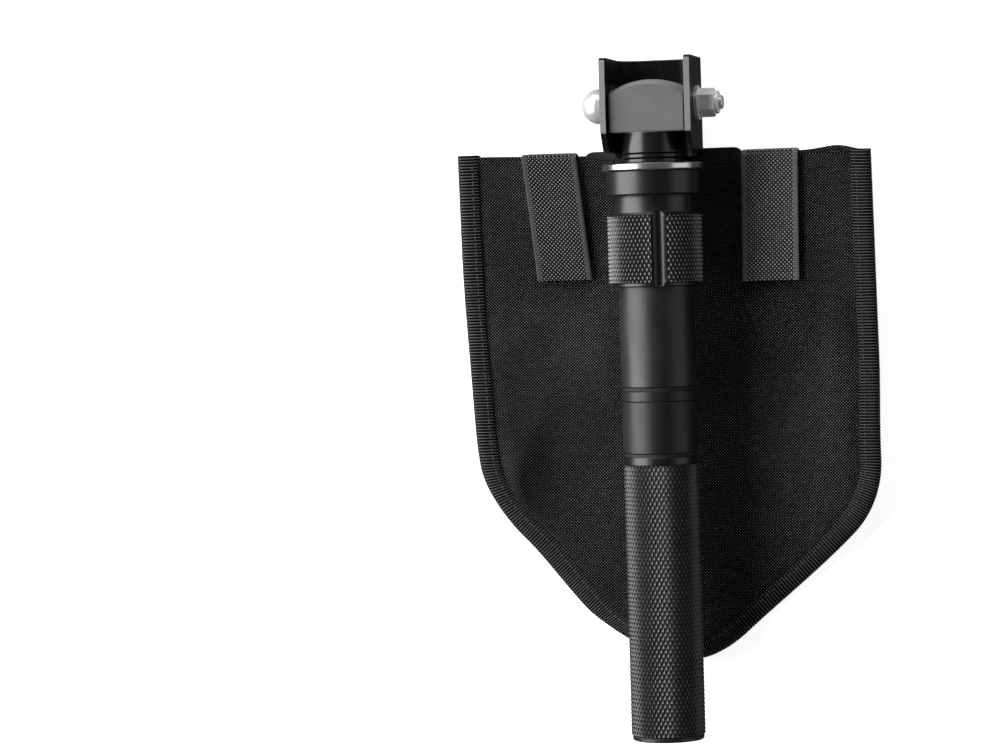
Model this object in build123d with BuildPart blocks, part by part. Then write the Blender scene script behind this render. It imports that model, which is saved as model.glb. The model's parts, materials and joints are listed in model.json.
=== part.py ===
from build123d import *
import math
import os

# Folding camp shovel: blade in its fabric cover, handle folded over the blade's front.
# Millimetres. X runs along the fold pivot, Y along the handle towards the yoke, Z up.
# The shovel lies on the back of its cover, and the origin is under the middle of its box.
# In names and profiles, a station is the distance from the pivot towards the grip's end.

# --- driving dimensions -------------------------------------------------------------------

# handle
HANDLE_END = 272.5
TUBE_R = 16.0
BORE_R = 12.0
RING_START, RING_END, RING_R = 25.2, 28.2, 21.8
FLANGE_END, FLANGE_R = 38.6, 20.4
WAIST_R = 17.2
BAND_START, BAND_END, BAND_R = 47.6, 75.8, 20.2
LIP_END, LIP_R = 77.9, 18.0
SKIRT_START = 58.0
FLUTE_R, FLUTE_DEPTH, FLUTE_START = 4.0, 2.2, 46.0
FLUTE_ANGLES = (15, 135, 255)
TUBE_START, TUBE_END = 63.0, 120.9
COUPLER_START, COUPLER_END, SCRIBED_LINE, SCRIBE = 122.1, 149.2, 126.8, 0.3
GRIP_START, KNURL_START, GRIP_TUBE_END = 150.4, 153.9, 270.3
CAP_START, CAP_R = 271.1, 15.4
COIN_SLOT_LENGTH, COIN_SLOT_W, COIN_SLOT_DEPTH = 18.0, 1.8, 1.0
SHANK_R, SHANK_END, SHANK_THREAD_START = 13.0, 100.0, 20.0
THREAD_R, THREAD_LENGTH, THREAD_PITCH, THREAD_DEPTH = 11.7, 15.0, 2.0, 0.9
THREAD_RELIEF = 1.0
COUPLER_BORE_R = 7.5
RUN_FIT = 0.3
GLUE_GAP = 0.03
EDGE = 0.5

# pivot block
BLOCK_END = 11.8
BLOCK_HALF_WIDTH, BLOCK_HALF_DEPTH = 16.0, 13.0
BLOCK_DOME_R, BLOCK_DOME_CENTRE = 33.9, 23.1

# yoke: a U of bent plate round the pivot block
YOKE_GAP_HALF, PLATE = 17.0, 2.5
YOKE_TOP, YOKE_FRONT, YOKE_WEB = 20.2, 15.5, -22.6
YOKE_BOTTOM, YOKE_CORNER_R = -22.0, 9.0
SLOPE_TOP, EAR_SEAT, SLOPE_FOOT_Z, EAR_FOOT_Z = -11.7, -20.0, 9.6, -15.5
YOKE_OUTLINE_RADII = [2.5, 2.0, 1.5, 0.8, 0.8]
RIVET_R, RIVET_HEAD_R, RIVET_HEAD_T, RIVET_TAPER = 2.0, 3.2, 1.4, 35
RIVET_X, RIVET_LOW, RIVET_HIGH = 4.6, -14.0, 2.0

# pivot bolt and what is on it
BOLT_R, BOLT_CLEARANCE, BOLT_END = 3.0, 0.05, 31.2
DOME_R, DOME_COLLAR = 7.6, 3.0
WASHER_R, WASHER_T = 7.4, 1.5
NUT_FLATS_R, NUT_T, NUT_COLLAR = 5.4, 8.4, 1.6
NUT_END_R, NUT_CORNER_R = 5.7, 6.4
FRICTION_R, FRICTION_T = 9.0, 0.8

# blade and cover share one dished section: a flat spine, and sides that curl up
SPINE_HALF = 24.0
SKIN = 1.2
BLADE_BACK, BLADE_T = 1.6, 2.0
FRONT_PANEL = 4.2
COVER_T = FRONT_PANEL + SKIN
DISH_Z = 196.0
DISH_SWEEP = 25.0
DISH_HEIGHT = 40.0

# cover outline, with the blade's a margin inside it, measured from the pivot along Y
COVER_HALF_WIDTH, COVER_APEX, COVER_CORNER_R, COVER_TIP_R = 89.2, -262.0, 45.0, 46.0
BINDING_W = 9.0
MOUTH_FRONT, MOUTH_BACK = -22.6, -21.0
BLADE_MARGIN, SHOULDER, SHOULDER_R = 12.5, -28.0, 10.0
HUMP_HALF, HUMP_TOP, TONGUE_HALF, TONGUE_TOP = 35.0, -18.6, 14.0, 9.0
TONGUE_R, NECK_R, HUMP_R = 5.0, 2.0, 4.0

# closing straps, with hook and loop pads
STRAP_W, STRAP_T, STRAP_LENGTH, STRAP_FOOT_GAP = 25.0, 1.2, 55.0, 0.7
STRAP_X = {"left": -49.0, "right": 47.5}
PAD_W, PAD_T, PAD_GAP, PAD_LENGTH, PAD_END_GAP = 22.0, 0.8, 0.3, 38.0, 2.0

# --- worked out from them -----------------------------------------------------------------

PIVOT_Y = (HANDLE_END - YOKE_TOP) / 2
PIVOT_Z = BLADE_BACK + BLADE_T + PLATE - YOKE_WEB
PIVOT = (0, PIVOT_Y, PIVOT_Z)
EAR_OUTSIDE = YOKE_GAP_HALF + PLATE
WEB_BACK = YOKE_WEB - PLATE
BLOCK_TOP = BLOCK_DOME_CENTRE - BLOCK_DOME_R
RIVETS = [(x, y) for x in (-RIVET_X, RIVET_X) for y in (RIVET_LOW, RIVET_HIGH)]
STRAP_Z = COVER_T + PAD_T + PAD_GAP + PAD_T
STRAP_FOOT = MOUTH_BACK + STRAP_FOOT_GAP

# floor plane under the pivot
GROUND = Plane(origin=(0, PIVOT_Y, 0))
# radius to the right, station upwards
TURNING = Plane(origin=PIVOT, x_dir=(1, 0, 0), z_dir=(0, 0, -1))
HANDLE_AXIS = Axis(PIVOT, (0, -1, 0))
# across the handle, looking along it to the grip
CROSS = Plane(origin=PIVOT, x_dir=(1, 0, 0), z_dir=(0, -1, 0))
BOLT_AXIS = Axis(PIVOT, (1, 0, 0))
# along the bolt
SIDE = Plane(origin=PIVOT, x_dir=(0, 1, 0), z_dir=(1, 0, 0))

os.makedirs("parts", exist_ok=True)


def save(piece, name):
    piece.part.label = name
    export_step(piece.part, f"parts/{name}.step")


def turned(*outline):
    """Revolve a closed outline of (radius, station) about the handle's axis."""
    with BuildSketch(TURNING) as profile:
        with BuildLine():
            Polyline(*outline, close=True)
        make_face()
    revolve(profile.sketch, axis=HANDLE_AXIS)


def cut_thread(radius, start, end):
    """Cut the V grooves that stand in for an outside thread."""
    with BuildSketch(TURNING) as grooves:
        for i in range(int((end - start) / THREAD_PITCH)):
            middle = start + (i + 0.5) * THREAD_PITCH
            with BuildLine():
                Polyline(
                    (radius + THREAD_DEPTH, middle - THREAD_DEPTH),
                    (radius - THREAD_DEPTH, middle),
                    (radius + THREAD_DEPTH, middle + THREAD_DEPTH),
                    close=True,
                )
            make_face()
    revolve(grooves.sketch, axis=HANDLE_AXIS, mode=Mode.SUBTRACT)


def flat_seal(start, end):
    """Rubber ring between two sections of the handle, set back from their surface."""
    turned((BORE_R, start), (CAP_R, start), (CAP_R, end), (BORE_R, end))


def washer(inside_x, thickness, radius):
    """Flat washer on the pivot bolt, from inside_x outwards."""
    with BuildSketch(SIDE.offset(inside_x)) as ring:
        Circle(radius)
        Circle(BOLT_R + BOLT_CLEARANCE, mode=Mode.SUBTRACT)
    extrude(ring.sketch, amount=thickness)


def bolt_hole(half_length):
    with BuildSketch(SIDE) as hole:
        Circle(BOLT_R + BOLT_CLEARANCE)
    extrude(hole.sketch, amount=half_length, both=True, mode=Mode.SUBTRACT)


def dished_sheet(back, thickness, top):
    """Sheet of the dished section, from top to the apex; back is its height at the spine."""
    front = back + thickness
    mouth = Plane(origin=(0, PIVOT_Y + top, 0), x_dir=(1, 0, 0), z_dir=(0, -1, 0))
    with BuildSketch(mouth) as section:
        with BuildLine():
            back_line = Line((0, back), (SPINE_HALF, back))
            front_line = Line((0, front), (SPINE_HALF, front))
            back_arc = CenterArc((SPINE_HALF, DISH_Z), DISH_Z - back, -90, DISH_SWEEP)
            front_arc = CenterArc((SPINE_HALF, DISH_Z), DISH_Z - front, -90, DISH_SWEEP)
            Line(back_line @ 0, front_line @ 0)
            Line(back_arc @ 1, front_arc @ 1)
        make_face()
        mirror(about=Plane.YZ)
    extrude(section.sketch, amount=top - COVER_APEX)


def shield(margin, top, mode=Mode.ADD):
    """Pointed outline of the cover, a margin inside its edge, open to the given top."""
    half = COVER_HALF_WIDTH - margin
    apex = COVER_APEX + margin * math.sqrt(2)
    with BuildLine() as edge:
        sides = FilletPolyline(
            (-half, top),
            (-half, apex + half),
            (0, apex),
            (half, apex + half),
            (half, top),
            radius=[COVER_CORNER_R - margin, COVER_TIP_R - margin, COVER_CORNER_R - margin],
        )
        Line(sides @ 0, sides @ 1)
    make_face(edge.line, mode=mode)


def radial_plane(side):
    """Upright plane through the dish's axis on one side: Y to the right, height upwards."""
    return Plane(origin=(side * SPINE_HALF, PIVOT_Y, 0), x_dir=(0, 1, 0), z_dir=(1, 0, 0))


def turned_round_dish(profile, side, middle_x, width):
    """Turn a profile round the dish's axis, and trim it to a strip along Y."""
    dish_axis = Axis((side * SPINE_HALF, 0, DISH_Z), (0, -side, 0))
    revolve(profile.sketch, axis=dish_axis, revolution_arc=DISH_SWEEP)
    with BuildSketch(GROUND) as strip:
        with Locations((middle_x, COVER_APEX / 2)):
            Rectangle(width, -COVER_APEX)
    extrude(strip.sketch, amount=DISH_HEIGHT, mode=Mode.INTERSECT)


def pad(side, middle_x, back, name):
    """Hook or loop pad along the dish, under the free part of a strap."""
    low = STRAP_FOOT - STRAP_LENGTH + PAD_END_GAP
    with BuildPart() as piece:
        with BuildSketch(radial_plane(side)) as profile:
            with Locations((low, back)):
                Rectangle(PAD_LENGTH, PAD_T, align=(Align.MIN, Align.MIN))
        turned_round_dish(profile, side, middle_x, PAD_W)
    save(piece, name)


# --- hinge --------------------------------------------------------------------------------

with BuildPart() as yoke:
    # U section run along Y, then trimmed to the ears' side outline
    with BuildSketch(CROSS.offset(-YOKE_TOP)):
        with BuildLine():
            FilletPolyline(
                (-EAR_OUTSIDE, YOKE_FRONT),
                (-EAR_OUTSIDE, WEB_BACK),
                (EAR_OUTSIDE, WEB_BACK),
                (EAR_OUTSIDE, YOKE_FRONT),
                radius=YOKE_CORNER_R + PLATE,
            )
            FilletPolyline(
                (-YOKE_GAP_HALF, YOKE_FRONT),
                (-YOKE_GAP_HALF, YOKE_WEB),
                (YOKE_GAP_HALF, YOKE_WEB),
                (YOKE_GAP_HALF, YOKE_FRONT),
                radius=YOKE_CORNER_R,
            )
            Line((-EAR_OUTSIDE, YOKE_FRONT), (-YOKE_GAP_HALF, YOKE_FRONT))
            Line((EAR_OUTSIDE, YOKE_FRONT), (YOKE_GAP_HALF, YOKE_FRONT))
        make_face()
    extrude(amount=YOKE_TOP - YOKE_BOTTOM)
    with BuildSketch(SIDE):
        with BuildLine():
            FilletPolyline(
                (YOKE_TOP, WEB_BACK),
                (YOKE_TOP, YOKE_FRONT),
                (SLOPE_TOP, YOKE_FRONT),
                (EAR_SEAT, SLOPE_FOOT_Z),
                (EAR_SEAT, EAR_FOOT_Z),
                (YOKE_BOTTOM, EAR_FOOT_Z + YOKE_BOTTOM - EAR_SEAT),
                (YOKE_BOTTOM, WEB_BACK),
                radius=YOKE_OUTLINE_RADII,
            )
            Line((YOKE_BOTTOM, WEB_BACK), (YOKE_TOP, WEB_BACK))
        make_face()
    extrude(amount=EAR_OUTSIDE, both=True, mode=Mode.INTERSECT)
    bolt_hole(EAR_OUTSIDE)
    with BuildSketch(GROUND.offset(BLADE_BACK + BLADE_T)):
        with Locations(*RIVETS):
            Circle(RIVET_R)
    extrude(amount=PLATE, mode=Mode.SUBTRACT)
save(yoke, "yoke")

with BuildPart() as yoke_rivets:
    # flush at the blade's back, domed inside the yoke
    with BuildSketch(GROUND.offset(BLADE_BACK)):
        with Locations(*RIVETS):
            Circle(RIVET_R)
    extrude(amount=BLADE_T + PLATE)
    with BuildSketch(GROUND.offset(BLADE_BACK + BLADE_T + PLATE)):
        with Locations(*RIVETS):
            Circle(RIVET_HEAD_R)
    extrude(amount=RIVET_HEAD_T, taper=RIVET_TAPER)
save(yoke_rivets, "yoke_rivets")

with BuildPart() as pivot_bolt:
    # domed head outside the left ear, plain shank, threaded end past the nut
    with BuildSketch(CROSS):
        with BuildLine():
            dome = CenterArc((-EAR_OUTSIDE - DOME_COLLAR, 0), DOME_R, 90, 90)
            Polyline(
                dome @ 0,
                (-EAR_OUTSIDE, DOME_R),
                (-EAR_OUTSIDE, BOLT_R),
                (BOLT_END - EDGE, BOLT_R),
                (BOLT_END, BOLT_R - EDGE),
                (BOLT_END, 0),
                dome @ 1,
            )
        make_face()
    revolve(axis=BOLT_AXIS)
save(pivot_bolt, "pivot_bolt")

with BuildPart() as pivot_washer:
    washer(EAR_OUTSIDE, WASHER_T, WASHER_R)
save(pivot_washer, "pivot_washer")

nut_inside = EAR_OUTSIDE + WASHER_T
nut_shoulder = nut_inside + NUT_T - NUT_COLLAR
with BuildPart() as pivot_nut:
    # hexagon with turned corners and the round collar of a locking insert
    with BuildSketch(SIDE.offset(nut_inside)):
        RegularPolygon(NUT_FLATS_R, 6, major_radius=False)
    extrude(amount=NUT_T - NUT_COLLAR)
    with BuildSketch(CROSS):
        with BuildLine():
            Polyline(
                (nut_inside, 0),
                (nut_inside, NUT_END_R),
                (nut_inside + EDGE, NUT_CORNER_R),
                (nut_shoulder - EDGE, NUT_CORNER_R),
                (nut_shoulder, NUT_END_R),
                (nut_shoulder, 0),
                close=True,
            )
        make_face()
    revolve(axis=BOLT_AXIS, mode=Mode.INTERSECT)
    with BuildSketch(SIDE.offset(nut_shoulder)):
        Circle(NUT_FLATS_R - EDGE)
    extrude(amount=NUT_COLLAR)
    with BuildSketch(SIDE.offset(nut_inside)):
        Circle(BOLT_R)
    extrude(amount=NUT_T, mode=Mode.SUBTRACT)
save(pivot_nut, "pivot_nut")

# friction washers lie against the ears' insides, just clear of the block
with BuildPart() as friction_washer_left:
    washer(-YOKE_GAP_HALF, FRICTION_T, FRICTION_R)
save(friction_washer_left, "friction_washer_left")

with BuildPart() as friction_washer_right:
    washer(YOKE_GAP_HALF - FRICTION_T, FRICTION_T, FRICTION_R)
save(friction_washer_right, "friction_washer_right")

# --- handle -------------------------------------------------------------------------------

with BuildPart() as pivot_block:
    # domed bar, milled flat on its four sides
    block_length = BLOCK_END - BLOCK_TOP
    with Locations((0, PIVOT_Y - BLOCK_END, PIVOT_Z)):
        Box(
            2 * BLOCK_HALF_WIDTH,
            block_length,
            2 * BLOCK_HALF_DEPTH,
            align=(Align.CENTER, Align.MIN, Align.CENTER),
        )
    chamfer(edges().filter_by(Axis.X).group_by(Axis.Y)[0], EDGE)
    with Locations((0, PIVOT_Y - BLOCK_DOME_CENTRE, PIVOT_Z)):
        Sphere(BLOCK_DOME_R, mode=Mode.INTERSECT)
    # neck and threaded shank, reaching into the upper tube
    turned(
        (0, 0),
        (SHANK_R - EDGE, 0),
        (SHANK_R - EDGE, BLOCK_END),
        (SHANK_R, BLOCK_END),
        (SHANK_R, SHANK_END),
        (0, SHANK_END),
    )
    cut_thread(SHANK_R, SHANK_THREAD_START, TUBE_START - THREAD_RELIEF)
    bolt_hole(BLOCK_HALF_WIDTH)
save(pivot_block, "pivot_block")

with BuildPart() as thrust_ring:
    turned(
        (SHANK_R + RUN_FIT, RING_START),
        (RING_R - EDGE, RING_START),
        (RING_R, RING_START + EDGE),
        (RING_R, RING_END - EDGE),
        (RING_R - EDGE, RING_END),
        (SHANK_R + RUN_FIT, RING_END),
    )
save(thrust_ring, "thrust_ring")

with BuildPart() as lock_nut:
    # flange, waist, gripping band and lip, with a skirt that runs over the upper tube
    turned(
        (SHANK_R + RUN_FIT, RING_END),
        (FLANGE_R - EDGE, RING_END),
        (FLANGE_R, RING_END + EDGE),
        (FLANGE_R, FLANGE_END - EDGE),
        (FLANGE_R - EDGE, FLANGE_END),
        (WAIST_R, FLANGE_END),
        (WAIST_R + EDGE, BAND_START),
        (BAND_R - EDGE, BAND_START),
        (BAND_R, BAND_START + EDGE),
        (BAND_R, BAND_END - EDGE),
        (BAND_R - EDGE, BAND_END),
        (LIP_R, BAND_END),
        (LIP_R, LIP_END - EDGE),
        (LIP_R - EDGE, LIP_END),
        (TUBE_R + RUN_FIT, LIP_END),
        (TUBE_R + RUN_FIT, SKIRT_START),
        (SHANK_R + RUN_FIT, SKIRT_START - TUBE_R + SHANK_R),
    )
    # finger flutes along the band
    for angle in FLUTE_ANGLES:
        with BuildSketch(CROSS.offset(FLUTE_START)):
            with PolarLocations(BAND_R - FLUTE_DEPTH + FLUTE_R, 1, start_angle=90 - angle):
                Circle(FLUTE_R)
        extrude(amount=LIP_END - FLUTE_START, mode=Mode.SUBTRACT)
save(lock_nut, "lock_nut")

with BuildPart() as upper_tube:
    turned(
        (SHANK_R + GLUE_GAP, TUBE_START),
        (TUBE_R, TUBE_START),
        (TUBE_R, TUBE_END - EDGE),
        (TUBE_R - EDGE, TUBE_END),
        (BORE_R, TUBE_END),
        (BORE_R, SHANK_END + THREAD_RELIEF),
        (SHANK_R + GLUE_GAP, SHANK_END + THREAD_RELIEF),
    )
save(upper_tube, "upper_tube")

with BuildPart() as coupler_seal:
    flat_seal(TUBE_END, COUPLER_START)
save(coupler_seal, "coupler_seal")

with BuildPart() as coupler:
    # plain middle with a scribed line, and a threaded stub at each end
    turned(
        (COUPLER_BORE_R, COUPLER_START - THREAD_LENGTH),
        (THREAD_R, COUPLER_START - THREAD_LENGTH),
        (THREAD_R, COUPLER_START),
        (TUBE_R - EDGE, COUPLER_START),
        (TUBE_R, COUPLER_START + EDGE),
        (TUBE_R, SCRIBED_LINE - SCRIBE),
        (TUBE_R - SCRIBE, SCRIBED_LINE),
        (TUBE_R, SCRIBED_LINE + SCRIBE),
        (TUBE_R, COUPLER_END - EDGE),
        (TUBE_R - EDGE, COUPLER_END),
        (THREAD_R, COUPLER_END),
        (THREAD_R, COUPLER_END + THREAD_LENGTH),
        (COUPLER_BORE_R, COUPLER_END + THREAD_LENGTH),
    )
    cut_thread(THREAD_R, COUPLER_START - THREAD_LENGTH, COUPLER_START - THREAD_RELIEF)
    cut_thread(THREAD_R, COUPLER_END + THREAD_RELIEF, COUPLER_END + THREAD_LENGTH)
save(coupler, "coupler")

with BuildPart() as grip_seal:
    flat_seal(COUPLER_END, GRIP_START)
save(grip_seal, "grip_seal")

with BuildPart() as grip_tube:
    # a plain collar, then the gripping length
    turned(
        (BORE_R, GRIP_START),
        (TUBE_R - 2 * EDGE, GRIP_START),
        (TUBE_R - EDGE, GRIP_START + EDGE),
        (TUBE_R - EDGE, KNURL_START),
        (TUBE_R, KNURL_START + EDGE),
        (TUBE_R, GRIP_TUBE_END - EDGE),
        (TUBE_R - EDGE, GRIP_TUBE_END),
        (BORE_R, GRIP_TUBE_END),
    )
save(grip_tube, "grip_tube")

with BuildPart() as cap_seal:
    flat_seal(GRIP_TUBE_END, CAP_START)
save(cap_seal, "cap_seal")

with BuildPart() as end_cap:
    turned(
        (0, CAP_START - THREAD_LENGTH),
        (THREAD_R, CAP_START - THREAD_LENGTH),
        (THREAD_R, CAP_START),
        (CAP_R, CAP_START),
        (CAP_R, HANDLE_END - EDGE),
        (CAP_R - EDGE, HANDLE_END),
        (0, HANDLE_END),
    )
    cut_thread(THREAD_R, CAP_START - THREAD_LENGTH, CAP_START - THREAD_RELIEF)
    with BuildSketch(CROSS.offset(HANDLE_END - COIN_SLOT_DEPTH)):
        SlotOverall(COIN_SLOT_LENGTH, COIN_SLOT_W)
    extrude(amount=COIN_SLOT_DEPTH, mode=Mode.SUBTRACT)
save(end_cap, "end_cap")

# --- blade --------------------------------------------------------------------------------

with BuildPart() as blade:
    dished_sheet(BLADE_BACK, BLADE_T, TONGUE_TOP)
    with BuildSketch(GROUND):
        half = COVER_HALF_WIDTH - BLADE_MARGIN
        apex = COVER_APEX + BLADE_MARGIN * math.sqrt(2)
        corner_r = COVER_CORNER_R - BLADE_MARGIN
        right = [
            (TONGUE_HALF, TONGUE_TOP),
            (TONGUE_HALF, HUMP_TOP),
            (HUMP_HALF, HUMP_TOP),
            (HUMP_HALF, SHOULDER),
            (half, SHOULDER),
            (half, apex + half),
        ]
        left = [(-x, y) for x, y in reversed(right)]
        right_radii = [TONGUE_R, NECK_R, HUMP_R, HUMP_R, SHOULDER_R, corner_r]
        with BuildLine():
            FilletPolyline(
                *right,
                (0, apex),
                *left,
                radius=right_radii + [COVER_TIP_R - BLADE_MARGIN] + right_radii[::-1],
                close=True,
            )
        make_face()
    extrude(amount=DISH_HEIGHT, mode=Mode.INTERSECT)
    with BuildSketch(GROUND.offset(BLADE_BACK)):
        with Locations(*RIVETS):
            Circle(RIVET_R)
    extrude(amount=BLADE_T, mode=Mode.SUBTRACT)
save(blade, "blade")

# --- cover --------------------------------------------------------------------------------

with BuildPart() as cover_back:
    dished_sheet(0, SKIN, MOUTH_BACK)
    with BuildSketch(GROUND):
        shield(BINDING_W, 0)
    extrude(amount=DISH_HEIGHT, mode=Mode.INTERSECT)
save(cover_back, "cover_back")

with BuildPart() as cover_front:
    dished_sheet(FRONT_PANEL, SKIN, MOUTH_FRONT)
    with BuildSketch(GROUND):
        shield(BINDING_W, 0)
    extrude(amount=DISH_HEIGHT, mode=Mode.INTERSECT)
save(cover_front, "cover_front")

with BuildPart() as cover_binding:
    # bound edge round the sides and the point, closing the pocket
    dished_sheet(0, COVER_T, MOUTH_FRONT)
    with BuildSketch(GROUND):
        shield(0, 0)
        shield(BINDING_W, 0, mode=Mode.SUBTRACT)
    extrude(amount=DISH_HEIGHT, mode=Mode.INTERSECT)
save(cover_binding, "cover_binding")

for name, middle_x in STRAP_X.items():
    side = math.copysign(1, middle_x)
    strap_top = STRAP_Z + STRAP_T
    with BuildPart() as strap:
        # from the back panel's edge, over the mouth and down the front
        with BuildSketch(radial_plane(side)) as profile:
            with BuildLine():
                inner = CenterArc((STRAP_FOOT, strap_top / 2), strap_top / 2 - STRAP_T, -90, 180)
                outer = CenterArc((STRAP_FOOT, strap_top / 2), strap_top / 2, -90, 180)
                Line(inner @ 0, outer @ 0)
                Polyline(
                    inner @ 1,
                    (STRAP_FOOT - STRAP_LENGTH, STRAP_Z),
                    (STRAP_FOOT - STRAP_LENGTH, strap_top),
                    outer @ 1,
                )
            make_face()
        turned_round_dish(profile, side, middle_x, STRAP_W)
    save(strap, f"strap_{name}")
    pad(side, middle_x, COVER_T, f"loop_pad_{name}")
    pad(side, middle_x, STRAP_Z - PAD_T, f"hook_pad_{name}")
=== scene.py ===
import json
import math

import bpy
import numpy as np
from mathutils import Matrix, Vector


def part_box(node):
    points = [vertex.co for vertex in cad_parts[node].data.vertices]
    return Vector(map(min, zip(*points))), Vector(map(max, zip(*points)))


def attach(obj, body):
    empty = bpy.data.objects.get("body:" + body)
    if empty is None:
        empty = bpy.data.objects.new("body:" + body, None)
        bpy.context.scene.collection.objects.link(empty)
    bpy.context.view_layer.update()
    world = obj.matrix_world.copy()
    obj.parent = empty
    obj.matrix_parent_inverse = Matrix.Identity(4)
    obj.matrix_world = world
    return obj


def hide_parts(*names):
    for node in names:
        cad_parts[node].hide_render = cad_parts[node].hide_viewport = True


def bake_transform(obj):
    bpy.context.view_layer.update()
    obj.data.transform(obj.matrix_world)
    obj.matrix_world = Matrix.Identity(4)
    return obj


# Folding camp shovel in its fabric cover. Lengths are in millimetres and become metres in
# the mesh helpers. A station is the distance from the fold pivot towards the grip's end,
# and an angle round the handle is measured from +Z towards +X.

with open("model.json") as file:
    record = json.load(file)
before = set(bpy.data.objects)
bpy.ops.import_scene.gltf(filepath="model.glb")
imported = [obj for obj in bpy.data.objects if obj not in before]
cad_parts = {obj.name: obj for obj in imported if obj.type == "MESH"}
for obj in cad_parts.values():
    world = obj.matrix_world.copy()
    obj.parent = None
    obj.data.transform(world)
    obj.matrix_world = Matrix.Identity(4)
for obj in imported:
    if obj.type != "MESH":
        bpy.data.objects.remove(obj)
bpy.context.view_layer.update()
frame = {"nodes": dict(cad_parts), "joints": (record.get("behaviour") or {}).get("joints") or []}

MM = 0.001
PIVOT = Vector(frame["joints"][0]["pos_m"]) / MM


def size_of(node):
    """Lowest and highest corner of a CAD node, in millimetres."""
    low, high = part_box(node)
    return low / MM, high / MM


def stations_of(node):
    """Where a CAD node starts and ends along the handle."""
    low, high = size_of(node)
    return PIVOT.y - high.y, PIVOT.y - low.y


# --- sizes --------------------------------------------------------------------------------

# knurls: diamonds round the part, half-diamonds along it, and the grooves' depth below the crests
BAND_DIAMONDS, BAND_ROWS, BAND_START, BAND_END = 66, 16, 47.6, 75.8
GRIP_DIAMONDS, GRIP_ROWS, KNURL_START = 51, 64, 154.2
BAND_DEPTH, GRIP_DEPTH = 0.65, 0.5
BAND_R, GRIP_R = 20.2, 16.0
FLUTE_ANGLES, FLUTE_R, FLUTE_CENTRE = (15, 135, 255), 3.5, 20.7
FLUTE_START, FLUTE_END = 47.0, 76.5

# lock nut: radii, where its flange ends and its counterbore starts, and its gap to the thrust ring
NUT_BORE, NUT_COUNTERBORE, FLANGE_R, LIP_R = 13.3, 16.3, 20.4, 18.0
FLANGE_END, BORE_END, COUNTERBORE_START, RING_GAP = 38.6, 55.0, 58.0, 0.05
WAIST = [
    (38.7, 18.0), (39.0, 17.4), (39.8, 17.15), (42.5, 17.25),
    (44.6, 17.5), (46.2, 17.95), (47.1, 18.6), (47.4, 19.3),
]

# grip tube: bore, and the plain end before the knurl
GRIP_BORE, GRIP_END_R = 12.0, 15.5

# pivot block, from the pivot: where its neck ends, its dome starts and its front flat lies
NECK_END, DOME_START, FLAT_TOP = -12.0, 4.0, 12.75

# the dished section shared by blade and cover
DISH_Z, SPINE_HALF = 196.0, 24.0

# blade inside the cover's edge, and how wide its edge is ground
BLADE_MARGIN, EDGE_GRIND = 12.5, 3.0

# cover, with Y measured from the pivot
COVER_HALF, COVER_APEX, CORNER_R, TIP_R = 89.2, -262.0, 45.0, 46.0
BINDING_W, PANEL_MARGIN, STITCH_INSET = 9.0, 3.0, 6.6
FRONT_MOUTH, BACK_MOUTH = -22.6, -21.0
PANEL_T = 0.9
FRONT_TOP, FRONT_EDGE, BACK_BOTTOM, BACK_EDGE = 5.2, 4.6, 0.1, 0.5
FRONT_STITCHES, BACK_STITCHES = 5.45, 0.1

# how the loose cover lies: its lean, what has ridden up or hangs down, its swell and its folds
COVER_LEAN, LEFT_RAISE, CORNER_DROP = 0.0153, 0.023, 1.4
TIP_RAISE, TIP_SKEW = 2.3, 2.3
LIP_X, LIP_WIDTH, BACK_LIP = 75.0, 9.0, 2.2
FRONT_SWELL, FOLD_GAIN, FOLD_FLOOR = 0.8, 1.6, 0.35
RIB_PITCH, RIB_HEIGHT = 1.3, 0.22
STITCH_PITCH, STITCH_LENGTH, STITCH_R = 3.3, 2.3, 0.27

# straps, from the back panel's edge over the mouth; the height of their middle behind and in front
STRAP_T, STRAP_TAIL = 1.2, 5.0
STRAP_W = {"left": 23.6, "right": 25.0}
STRAP_LENGTH = {"left": 52.5, "right": 55.0}
FOOT_GAP, ARC_REACH, STRAP_BACK, STRAP_FRONT = -1.0, 1.6, 1.5, 7.9
STRAP_X = {"left": -49.6, "right": 47.5}
STRAP_LEAN = {"left": math.radians(5.2), "right": math.radians(-1.7)}
SELVEDGE, STRAP_THREADS, DOT_HEIGHT = 2.2, 27, 0.35

# hook and loop pads, placed from the strap's front end
PAD_W, PAD_LENGTH, PAD_END_GAP, PAD_BACKING = 22.0, 38.0, 2.0, 0.35
LOOP_BACK, HOOK_BACK, PAD_T = 5.45, 6.5, 0.8
BRISTLE_SPACING, BRISTLE_HALF = 0.95, 0.14


# --- meshes -------------------------------------------------------------------------------

def grid_faces(rows, columns, wrap_rows=False, wrap_columns=False):
    """Quads of a grid whose points are numbered row by row."""
    faces = []
    for r in range(rows if wrap_rows else rows - 1):
        for c in range(columns if wrap_columns else columns - 1):
            r1, c1 = (r + 1) % rows, (c + 1) % columns
            faces.append((r * columns + c, r * columns + c1, r1 * columns + c1, r1 * columns + c))
    return faces


def make_piece(name, points, faces, material, sharp=30, crown=None):
    """A mesh from points in millimetres, smooth but for edges over sharp degrees.

    crown says how far each point stands up in its weave or knurl; from it the materials paint the low points
    darker as painted shade, and the knurl's crests paler as wear too."""
    mesh = bpy.data.meshes.new(name)
    mesh.from_pydata([tuple(p) for p in np.asarray(points, float) * MM], [], faces)
    if crown is not None:
        stored = mesh.attributes.new("crown", "FLOAT", "POINT")
        stored.data.foreach_set("value", np.asarray(crown, np.float32))
    mesh.validate()
    mesh.shade_smooth()
    mesh.set_sharp_from_angle(angle=math.radians(sharp))
    mesh.materials.append(material)
    piece = bpy.data.objects.new(name, mesh)
    bpy.context.scene.collection.objects.link(piece)
    return piece


def apply_modifiers(piece):
    """Bake the modifiers of a piece into its mesh."""
    graph = bpy.context.evaluated_depsgraph_get()
    mesh = bpy.data.meshes.new_from_object(piece.evaluated_get(graph))
    piece.modifiers.clear()
    piece.data = mesh


# --- materials ----------------------------------------------------------------------------

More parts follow.
